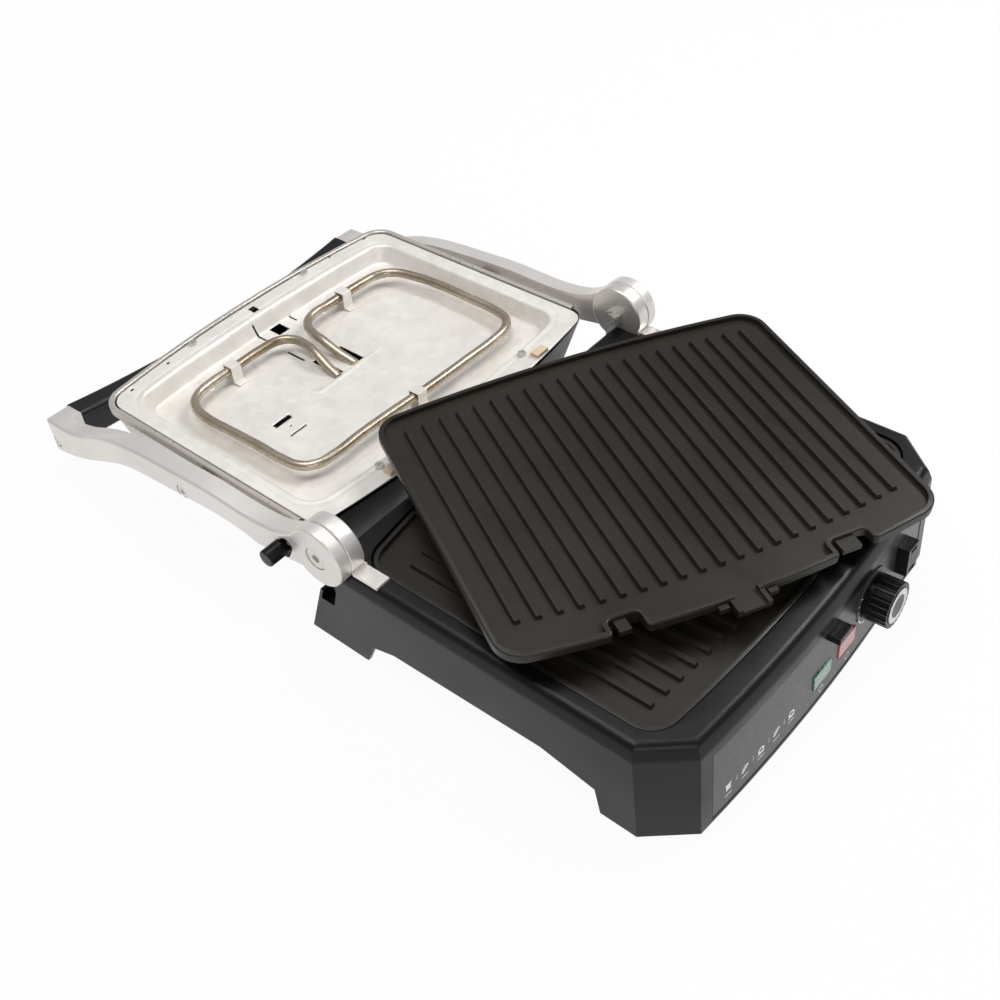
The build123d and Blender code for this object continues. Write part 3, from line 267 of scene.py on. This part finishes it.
inner_black = open_finish("inner_black")
close_finish(blend_colours(grain(60), paint(16, 16, 16), paint(25, 24, 23)),
             span(grain(120), 0.3, 0.7, 0.5, 0.62), grain(1500), 0.00006, specular_ior_level=0.3)
dress("bottom_cover", inner_black)
dress("cord_gland", housing_black)
dress("release_button_guide", inner_black)
dress("power_switch_body", inner_black)
dress("thermostat_body", inner_black)

foot_rubber = open_finish("foot_rubber")
close_finish(blend_colours(grain(80, 4), paint(24, 24, 25), paint(46, 45, 44)),
             span(grain(200), 0.3, 0.7, 0.7, 0.86), grain(1800), 0.00012)
dress("rubber_feet", foot_rubber)

fired_ceramic = open_finish("fired_ceramic")
close_finish(blend_colours(grain(150, 4), paint(232, 214, 186), paint(206, 178, 142)),
             span(grain(400), 0.3, 0.7, 0.5, 0.7), grain(2200), 0.00006)
dress("terminal_block", fired_ceramic)

bright_zinc = open_finish("bright_zinc")
close_finish(blend_colours(grain(300, 3), paint(232, 230, 224), paint(200, 198, 190)),
             span(grain(500, 3), 0.3, 0.7, 0.22, 0.4), grain(2500), 0.00003, metallic=0.7)
dress("cover_screws", bright_zinc)

# Control panel: a thin grey sheet with a satin face, glued into the sloping front, with pale
# printed marks: five food signs in a row, and a small sign under each lamp.

panel_grey = open_finish("panel_grey")
close_finish(blend_colours(grain(70, 3), paint(49, 47, 43), paint(57, 55, 51)),
             span(grain(300, 3), 0.3, 0.7, 0.3, 0.38), grain(3000, 1), 0.00002)
dress("control_panel", panel_grey)

front_middle = -151.2
front_bow = 6.3
front_cut = 134.8
front_lean = 0.063
panel_sunk = 0.3
print_lift = 0.06


def front_face(x, z, lift):
    """A point on the sloping, bowed front, in metres, this far out of the panel."""
    y = front_middle + front_bow * (x / front_cut) ** 2 + front_lean * z + panel_sunk - lift
    return (x / 1000, y / 1000, z / 1000)


def stroke_quads(points, width, closed):
    """Flat quads that follow a line of points with this width."""
    corners = []
    count = len(points)
    for index, (x, z) in enumerate(points):
        before = points[index - 1] if index or closed else points[0]
        after = points[(index + 1) % count] if index < count - 1 or closed else points[-1]
        along = Vector((after[0] - before[0], after[1] - before[1])).normalized()
        across = Vector((-along.y, along.x)) * width / 2
        corners.append(((x + across.x, z + across.y), (x - across.x, z - across.y)))
    last = count if closed else count - 1
    return [(corners[i][0], corners[(i + 1) % count][0], corners[(i + 1) % count][1], corners[i][1])
            for i in range(last)]


def ring(x, z, wide, high, start=0, sweep=360, steps=28):
    """Points round an oval or along part of it."""
    turns = [radians(start + sweep * i / steps) for i in range(steps if sweep == 360 else steps + 1)]
    return [(x + wide / 2 * cos(t), z + high / 2 * sin(t)) for t in turns]


def print_marks(name, strokes, material, lift):
    """One flat printed piece made of strokes, laid on the front and riding the base."""
    mesh = bpy.data.meshes.new(name)
    form = bmesh.new()
    for points, width, closed in strokes:
        for quad in stroke_quads(points, width, closed):
            form.faces.new([form.verts.new(front_face(x, z, lift)) for x, z in quad])
    form.to_mesh(mesh)
    form.free()
    mesh.materials.append(material)
    piece = bpy.data.objects.new(name, mesh)
    bpy.context.scene.collection.objects.link(piece)
    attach(piece, "base")


print_white = open_finish("print_white")
close_finish(blend_colours(grain(900, 3), paint(252, 252, 250), paint(236, 236, 234)),
             span(grain(700), 0.3, 0.7, 0.45, 0.6))

sign_count = 5
first_sign_x = -109.8
first_sign_z = 18.0
sign_pitch = 15.8
sign_climb = 0.75
lamp_sign_places = ((20.0, 10.0), (-12.0, 10.5))
food_signs = []
for place_index in range(sign_count):
    x = first_sign_x + sign_pitch * place_index
    z = first_sign_z + sign_climb * place_index
    if place_index == 0:
        food_signs.append(([(x - 2.2, z), (x + 2.2, z + 0.2)], 4.6, False))
        food_signs.append(([(x - 2.8, z + 2.6), (x + 2.8, z + 2.8)], 1.2, False))
    elif place_index % 2:
        food_signs.append(([(x - 3.0, z - 2.0), (x + 2.8, z + 2.2)], 2.2, False))
        food_signs.append(([(x - 3.2, z + 0.8), (x + 0.4, z + 3.2)], 0.8, False))
    else:
        food_signs.append((ring(x, z, 5.0, 4.0), 1.5, True))
        food_signs.append(([(x - 3.4, z - 2.8), (x + 3.4, z - 2.6)], 1.0, False))
    food_signs.append(([(x - 3.2, z - 6.4), (x + 3.2, z - 6.2)], 0.9, False))
    if place_index < sign_count - 1:
        between = x + sign_pitch / 2
        food_signs.append(([(between, z - 1.6), (between, z + 3.2)], 0.4, False))
for x, z in lamp_sign_places:
    food_signs.append((ring(x, z, 4.6, 4.6, 120, 300), 0.7, False))
    food_signs.append(([(x, z + 0.6), (x, z + 3.0)], 0.7, False))
print_marks("panel_signs", food_signs, print_white, print_lift)

panel_side = 124.2
panel_low = 3.8
panel_high = 60.7
seam_steps = 24
seam_width = 0.9
across = [-panel_side + 2 * panel_side * step / seam_steps for step in range(seam_steps + 1)]
seam_line = [(x, panel_low) for x in across] + [(x, panel_high) for x in reversed(across)]
seam_dark = open_finish("seam_dark")
close_finish(blend_colours(grain(400), paint(8, 8, 8), paint(16, 15, 15)),
             span(grain(300), 0.3, 0.7, 0.6, 0.8))
print_marks("panel_seam", [(seam_line, seam_width, True)], seam_dark, print_lift)

# Pilot lamps: clear coloured lenses snapped through the front, green for ready and red for
# power, with a prismatic back that breaks up the light of the small lamp behind.

for lens, deep, pale in (("lens_green", paint(10, 86, 62), paint(70, 150, 116)),
                         ("lens_red", paint(150, 16, 22), paint(222, 84, 84))):
    lens_clear = open_finish(lens + "_clear")
    prisms = Wire.node("TexVoronoi", {"feature": "F1"}, {"Vector": place(), "Scale": 420.0})
    close_finish(blend_colours(span(prisms, 0.2, 0.8), deep, pale),
                 span(grain(300), 0.3, 0.7, 0.12, 0.2), prisms, 0.00012,
                 coat_weight=0.6, coat_roughness=0.05)
    dress(lens, lens_clear)
lamp_glass = open_finish("lamp_glass")
close_finish(blend_colours(grain(200), paint(180, 150, 110), paint(120, 90, 60)),
             span(grain(300), 0.3, 0.7, 0.2, 0.4))
dress("indicator_lamps", lamp_glass)

# Temperature knob: glossy black moulding with 24 flutes on a steel shaft, a bright plated ring
# let into its end, and a dark satin skirt behind it printed with the heat scale.

gloss_black = open_finish("gloss_black")
close_finish(blend_colours(grain(90, 3), paint(5, 5, 5), paint(10, 10, 10)),
             span(grain(200, 3), 0.3, 0.7, 0.24, 0.34), grain(1800), 0.00003, specular_ior_level=0.25)
eased("temperature_knob", "knob", gloss_black, 0.0005)
knob_x = 47.0
knob_z = 41.0
cap_rise = 1.1
cap_ring_inner = 0.0080
cap_ring_outer = 0.0118
ring_blur = 0.0002
turning_marks = 26000

cap_rings = open_finish("cap_rings")
spot = Wire.node("SeparateXYZ", {}, {0: place()}, "X")
height = Wire.node("SeparateXYZ", {}, {0: place()}, "Z")
aside = spot - knob_x / 1000
above = height - (knob_z + cap_rise) / 1000
off_axis = Wire.reckon("SQRT", aside * aside + above * above)
past_inner = span(off_axis, cap_ring_inner - ring_blur, cap_ring_inner + ring_blur)
before_outer = span(off_axis, cap_ring_outer - ring_blur, cap_ring_outer + ring_blur, 1.0, 0.0)
plated = past_inner * before_outer
turned_rings = Wire.reckon("SINE", off_axis * turning_marks) * 0.5 + 0.5
close_finish(blend_colours(plated, paint(22, 22, 23), paint(226, 226, 224)),
             span(plated, 0, 1, 0.35, 0.2), turned_rings, 0.00002)
dress("knob_cap", cap_rings)

dial_silver = open_finish("dial_silver")
close_finish(blend_colours(grain(500, 3), paint(64, 63, 63), paint(80, 79, 78)),
             span(grain(500), 0.3, 0.7, 0.35, 0.5), grain(3000), 0.00002)
dress("dial_plate", dial_silver)
dress("thermostat_shaft", bright_zinc)
scale_tick_count = 11
scale_tick_turn = 18
scale_start = 150
scale_outer_reach = 18.3
scale_arc_width = 37.2
scale_lift = 0.86
scale_strokes = []
for step in range(scale_tick_count):
    angle = radians(scale_start + scale_tick_turn * step)
    inner_reach = 16.3 if step % 5 else 15.9
    ends = [(knob_x + reach * cos(angle), knob_z + reach * sin(angle))
            for reach in (inner_reach, scale_outer_reach)]
    scale_strokes.append((ends, 0.7, False))
scale_strokes.append((ring(knob_x, knob_z, scale_arc_width, scale_arc_width, 205, 40), 1.2, False))
print_marks("heat_scale", scale_strokes, print_white, scale_lift)

# Push buttons: a slim black bar at the panel's top edge frees the lower plate, and a stepped
# black button works the power switch. Each has a sprung stem in a guide box behind the front.

eased("plate_release_button", "release_button", gloss_black, 0.0006)
eased("power_button", "power_button", gloss_black, 0.0006)
spring_steel = open_finish("spring_steel")
# The spring's turns are bands: pale for the wire, and dark for painted shade in the gaps between the
# turns.
coils_and_gap_shade = Wire.node("TexWave", {"wave_type": "BANDS", "bands_direction": "Y"},
                  {"Vector": place(), "Scale": 160.0})
close_finish(blend_colours(coils_and_gap_shade, paint(60, 60, 60), paint(190, 188, 184)),
             span(coils_and_gap_shade, 0, 1, 0.5, 0.25), coils_and_gap_shade, 0.0006, metallic=1.0)
dress("release_button_spring", spring_steel)
dress("power_button_spring", spring_steel)
dress("plate_latch_bar", bright_zinc)

# Cooking plates: cast aluminium under a dark fired non-stick coat with a fine mineral fleck.
# Ribs and rim lips wear a little smoother than the field between them.

coat_dark = open_finish("coat_dark")
fleck = span(grain(2400, 2), 0.60, 0.72)
pits = grain(1500, 3)
broad = grain(14, 3)
worn = span(grain(60, 4, (1, 0.15, 1)), 0.5, 0.75)
coat_tone = blend_colours(broad, paint(33, 30, 24), paint(43, 39, 31))
coat_tone = blend_colours(fleck * 0.4, coat_tone, paint(84, 79, 68))
close_finish(coat_tone, span(broad, 0.3, 0.7, 0.32, 0.40) - worn * 0.06, pits, 0.00005,
             specular_ior_level=0.32)
eased("lower_plate", "lower_plate", coat_dark, 0.0003, angle=35)
eased("upper_plate", "upper_plate", coat_dark, 0.0003, angle=35)

# Lower pan and element: galvanised pressing under the lower plate with a tubular heater held
# by three sheet clips, out of sight while the plate is seated.

zinc_sheet = open_finish("zinc_sheet")
spangle = Wire.node("TexVoronoi", {"feature": "SMOOTH_F1"},
                    {"Vector": place(), "Scale": 140.0, "Smoothness": 0.3}, "Color")
spangle_level = Wire.node("SeparateXYZ", {}, {0: spangle}, "X")
smear = grain(38, 5)
stain = span(grain(17, 5), 0.52, 0.78)
zinc_tone = blend_colours(spangle_level * 0.5 + smear * 0.5, paint(228, 223, 215), paint(246, 242, 236))
zinc_tone = blend_colours(stain * 0.22, zinc_tone, paint(200, 190, 174))
close_finish(zinc_tone, span(smear, 0.3, 0.7, 0.36, 0.52), spangle_level * 0.2 + grain(240, 4),
             0.00006, metallic=0.25)
dress("lower_pan", zinc_sheet)
dress("lower_element_clips", zinc_sheet)

heated_steel = open_finish("heated_steel")
temper = span(grain(22, 4), 0.35, 0.68)
scale_marks = grain(420, 4)
steel_tone = blend_colours(temper, paint(196, 184, 164), paint(150, 133, 110))
close_finish(blend_colours(span(scale_marks, 0.55, 0.7) * 0.4, steel_tone, paint(86, 74, 62)),
             span(scale_marks, 0.3, 0.7, 0.24, 0.38), scale_marks, 0.00005, metallic=0.8)
dress("lower_element", heated_steel)

# Hinges: each side has a round steel cheek whose tongue is riveted to the housing's rim and
# whose stalk stands in the pocket, with a socket screw and a nut through cheek and arm.

cheek_grey = open_finish("cheek_grey")
close_finish(blend_colours(grain(45, 4), paint(222, 217, 211), paint(236, 231, 225)),
             span(grain(300, 3), 0.3, 0.7, 0.30, 0.40), grain(1800, 2), 0.00004, metallic=0.6)
for side in ("left", "right"):
    eased("hinge_bracket_" + side, "base", cheek_grey, 0.0008)
dress("hinge_bolts", bright_zinc)
dress("hinge_nuts", bright_zinc)

# Arms: die-cast aluminium, shot-blasted and lacquered satin silver, with a round hinge end
# outside the cheek, a countersunk hinge screw and a corner that takes the handle.

satin_silver = open_finish("satin_silver")
cast = grain(700, 3)
handled = span(grain(12, 4), 0.4, 0.7)
close_finish(blend_colours(handled, paint(232, 226, 220), paint(242, 237, 231)),
             span(grain(90, 3), 0.3, 0.7, 0.34, 0.42), cast, 0.00003, metallic=0.5)
for side in ("left", "right"):
    eased("arm_" + side, "arms", satin_silver, 0.0005)
dress("lid_pivot_screws", bright_zinc)
dress("handle_screws", bright_zinc)

# Handle: black moulded grip, dipped in the middle for the fingers, clamped between the arm
# corners by a steel rod and two screws.

grip_black = open_finish("grip_black")
palm = span(grain(18, 4), 0.4, 0.7)
close_finish(blend_colours(palm, paint(18, 18, 18), paint(26, 25, 25)),
             span(palm, 0, 1, 0.44, 0.34), grain(2200), 0.00006, specular_ior_level=0.4)
dress("handle_grip", grip_black)
dress("handle_rod", bright_zinc)

# Flat-open lever: black knob on a steel tongue, hung on a pin in the left arm. Pulled, it
# frees the arm to fold right back.

eased("flat_open_lever", "lever", gloss_black, 0.0007)
dress("lever_pin", bright_zinc)

# Lid shell: outer cover of brushed stainless sheet, now facing the table, closed on its hinge
# side by a black moulding, with a black frame inside and a polished rim lip round the top.

brushed_steel = open_finish("brushed_steel")
brush = grain(900, 3, (0.05, 1, 0.05))
close_finish(blend_colours(brush, paint(176, 174, 171), paint(206, 204, 200)),
             span(brush, 0.3, 0.7, 0.22, 0.36), brush, 0.00003, metallic=1.0)
dress("lid_cover", brushed_steel)
eased("lid_hinge_side_panel", "lid", housing_black, 0.0007)
dress("lid_frame", inner_black)

rim_silver = open_finish("rim_silver")
close_finish(blend_colours(grain(30, 3), paint(206, 199, 191), paint(222, 216, 208)),
             span(grain(200, 3), 0.3, 0.7, 0.26, 0.36), grain(300, 2), 0.00002, metallic=0.6)
eased("lid_rim", "lid", rim_silver, 0.0002)
dress("lid_pivot_bushes", inner_black)

# Lid pan: one pressing of galvanised sheet. A flat flange carries the screws, the bowl falls
# away from it to a floor with a trough under the heater, pads for its clips and stamped slots.

flange_z = 79.0
sheet = 0.8
bowl_floor_z = 65.9
pan_half = 139.8
pan_near = (131.5, 12.6)
pan_far = (366.8, 10.5)
corner_near = 9.0
corner_far = 13.0
lid_half = 145.0
bowl_half = 129.5
bowl_near = 151.0
bowl_far = 351.0
bowl_bow = 8.0
bowl_corner = 17.0
bowl_wall_run = 8.5
edge_groove_depth = 0.5
edge_groove_place = 3.5
edge_groove_width = 1.3
heater_line = [(-10.9, 256), (-10.4, 267.5), (-8.2, 281), (-5.0, 295.7), (-5.8, 306.9), (-13.1, 315.3),
               (-29.1, 318.2), (-57.6, 318), (-80, 318), (-95, 314.6), (-103.6, 306), (-107.2, 290),
               (-106.6, 262), (-105.8, 235), (-105.6, 211), (-103, 197.5), (-95.6, 189.6), (-84, 187),
               (-55, 187), (-20, 185.5), (10, 183.5), (50, 182.4), (84, 182), (97.5, 184.2),
               (107, 191.5), (111, 205), (112.4, 235), (112.8, 265), (110, 291), (104.6, 307.5),
               (94, 315.8), (80, 318), (59.3, 319), (40.2, 319), (28.3, 319.6), (16.0, 314.8),
               (9.3, 303.7), (6.3, 287.9), (6.4, 272.9), (8.1, 257)]


def edge_y(x, middle, bow, corner, sign):
    """Where the pan's bowed edge runs at this x, with its round corner."""
    reach = min(abs(x), pan_half)
    y = middle + sign * bow * (reach / lid_half) ** 2
    past = reach - (pan_half - corner)
    if past > 0:
        y += sign * (corner - (max(corner * corner - past * past, 0)) ** 0.5)
    return y


def ease(value, low, high):
    """Smooth step from 0 at low to 1 at high."""
    share = min(max((value - low) / (high - low), 0.0), 1.0)
    return share * share * (3 - 2 * share)


def line_gap(x, y, points):
    """Distance from a point to a line of points."""
    best = 1e9
    for (ax, ay), (bx, by) in zip(points, points[1:]):
        run_x = bx - ax
        run_y = by - ay
        share = ((x - ax) * run_x + (y - ay) * run_y) / (run_x * run_x + run_y * run_y)
        share = min(max(share, 0.0), 1.0)
        best = min(best, hypot(x - ax - share * run_x, y - ay - share * run_y))
    return best


def box_gap(x, y, x0, x1, y0, y1, corner):
    """Distance outside a rectangle with round corners, below zero inside it."""
    dx = max(x0 + corner - x, x - x1 + corner)
    dy = max(y0 + corner - y, y - y1 + corner)
    return hypot(max(dx, 0), max(dy, 0)) + min(max(dx, dy), 0) - corner


heater_loop = heater_line[3:-3]
centre_bead = [(-38.2, 329.3), (-34.2, 257.5), (-31.5, 253.2), (31.0, 254.8), (34.0, 258.6), (38.0, 327)]
raised_pads = ((-61.0, 330.0), (56.0, 331.0))
pad_half_x = 17.0
pad_half_y = 8.5
pad_corner = 4.0
pad_rise = 1.6
trough_depth = 0.8
bead_height = 0.7


def pan_height(x, y):
    """Height of the pressed sheet's upper face."""
    bow = bowl_bow * (x / lid_half) ** 2
    inside = -box_gap(x, y, -bowl_half, bowl_half, bowl_near + bow, bowl_far - bow, bowl_corner)
    down = ease(inside, 0.0, bowl_wall_run)
    z = flange_z - (flange_z - bowl_floor_z) * down
    z -= edge_groove_depth * exp(-((inside + edge_groove_place) / edge_groove_width) ** 2)
    if inside > 6:
        gap = line_gap(x, y, heater_loop)
        z -= trough_depth * (1 - ease(gap, 6.5, 12.0)) * ease(inside, 6, 10)
        z += bead_height * (1 - ease(line_gap(x, y, centre_bead), 0.4, 1.9))
    for pad_x, pad_y in raised_pads:
        outside = box_gap(x, y, pad_x - pad_half_x, pad_x + pad_half_x,
                          pad_y - pad_half_y, pad_y + pad_half_y, pad_corner)
        z += pad_rise * (1 - ease(outside, -1.2, 0.6))
    return min(z, flange_z)


pan_holes = [(-2.8, 3.0, 355, 362.5), (-0.6, 10.2, 331, 343), (-79.2, -63.7, 249.3, 254.1),
             (-79.4, -63.7, 234.0, 235.6), (-72.0, -70.4, 242.3, 243.9), (-12.4, -10.4, 292, 310.8),
             (-9.8, -4.4, 257, 285.6), (11.6, 17.0, 257, 282), (-12.4, -10.7, 334.2, 347.7),
             (20.4, 21.9, 334.8, 343.3), (-64.8, -62.4, 325.5, 333), (-60, -57, 329.5, 332.5),
             (52.6, 55, 326.5, 334), (57.5, 60, 330.5, 333.5)]
small_round_holes = [(-121.5, 355.5), (-85, 359), (87, 363), (124, 359.0)]
small_hole_radius = 1.5


def grid_lines(low, high, step, extra):
    """Even lines across a span, with the edges of the holes added."""
    count = int((high - low) / step)
    lines = [low + (high - low) * i / count for i in range(count + 1)]
    kept = [v for v in lines if all(abs(v - e) > step * 0.35 for e in extra) or v in (low, high)]
    return sorted(set(kept + [e for e in extra if low < e < high]))


hole_xs = sorted({v for hole in pan_holes for v in hole[:2]})
hole_ys = sorted({v for hole in pan_holes for v in hole[2:]})
pan_step = 1.25
pan_xs = grid_lines(-pan_half, pan_half, pan_step, hole_xs)
pan_ys = grid_lines(pan_near[0], pan_far[0], pan_step, hole_ys)
pan_form = bmesh.new()
pan_columns = []
for x in pan_xs:
    near_edge = edge_y(x, *pan_near, corner_near, 1)
    far_edge = edge_y(x, *pan_far, corner_far, -1)
    column = []
    for y in pan_ys:
        held = min(max(y, near_edge), far_edge)
        column.append(pan_form.verts.new((x / 1000, held / 1000, pan_height(x, held) / 1000)))
    pan_columns.append(column)
for i in range(len(pan_xs) - 1):
    for j in range(len(pan_ys) - 1):
        mid_x = (pan_xs[i] + pan_xs[i + 1]) / 2
        mid_y = (pan_ys[j] + pan_ys[j + 1]) / 2
        if any(x0 < mid_x < x1 and y0 < mid_y < y1 for x0, x1, y0, y1 in pan_holes):
            continue
        if any(hypot(mid_x - x, mid_y - y) < small_hole_radius for x, y in small_round_holes):
            continue
        here = pan_columns[i]
        after = pan_columns[i + 1]
        pan_form.faces.new((here[j], after[j], after[j + 1], here[j + 1]))
bmesh.ops.remove_doubles(pan_form, verts=pan_form.verts, dist=0.00001)
bmesh.ops.dissolve_degenerate(pan_form, edges=pan_form.edges, dist=0.00001)
loose = [vert for vert in pan_form.verts if not vert.link_faces]
bmesh.ops.delete(pan_form, geom=loose, context="VERTS")
for face in pan_form.faces:
    face.smooth = True
pan_mesh = bpy.data.meshes.new("lid_pan_pressing")
pan_form.to_mesh(pan_mesh)
pan_form.free()
pan_mesh.materials.append(zinc_sheet)
pan = bpy.data.objects.new("lid_pan_pressing", pan_mesh)
bpy.context.scene.collection.objects.link(pan)
thickness = pan.modifiers.new("sheet", "SOLIDIFY")
thickness.thickness = sheet / 1000
thickness.offset = -1
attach(pan, "lid")
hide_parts("lid_pan")
dress("insulator_blocks", fired_ceramic)
dress("lid_pan_screws", bright_zinc)

# Lid heater: one 7 mm steel tube bent into a wide loop whose two ends fold in and dive through
# the pan, stained brown and straw by heat and held by three folded sheet clips.

tube_radius = 3.5
tube_z = 75.0
leg_points = 2
leg_step = 4.6
tube_curve = bpy.data.curves.new("lid_heater_tube", "CURVE")
tube_curve.dimensions = "3D"
tube_curve.bevel_depth = tube_radius / 1000
tube_curve.bevel_resolution = 5
tube_curve.resolution_u = 6
tube_curve.use_fill_caps = True
run = tube_curve.splines.new("BEZIER")
tube_points = []
for index, (x, y) in enumerate(heater_line):
    from_end = min(index, len(heater_line) - 1 - index)
    dive = leg_step * max(leg_points - from_end, 0)
    tube_points.append((x / 1000, y / 1000, (tube_z - dive) / 1000))
run.bezier_points.add(len(tube_points) - 1)
for point, spot_at in zip(run.bezier_points, tube_points):
    point.co = spot_at
    point.handle_left_type = "AUTO"
    point.handle_right_type = "AUTO"
tube_curve.materials.append(heated_steel)
tube = bpy.data.objects.new("lid_heater_tube", tube_curve)
bpy.context.scene.collection.objects.link(tube)
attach(tube, "lid")
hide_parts("lid_element")
eased("lid_element_clips", "lid", zinc_sheet, 0.0004)
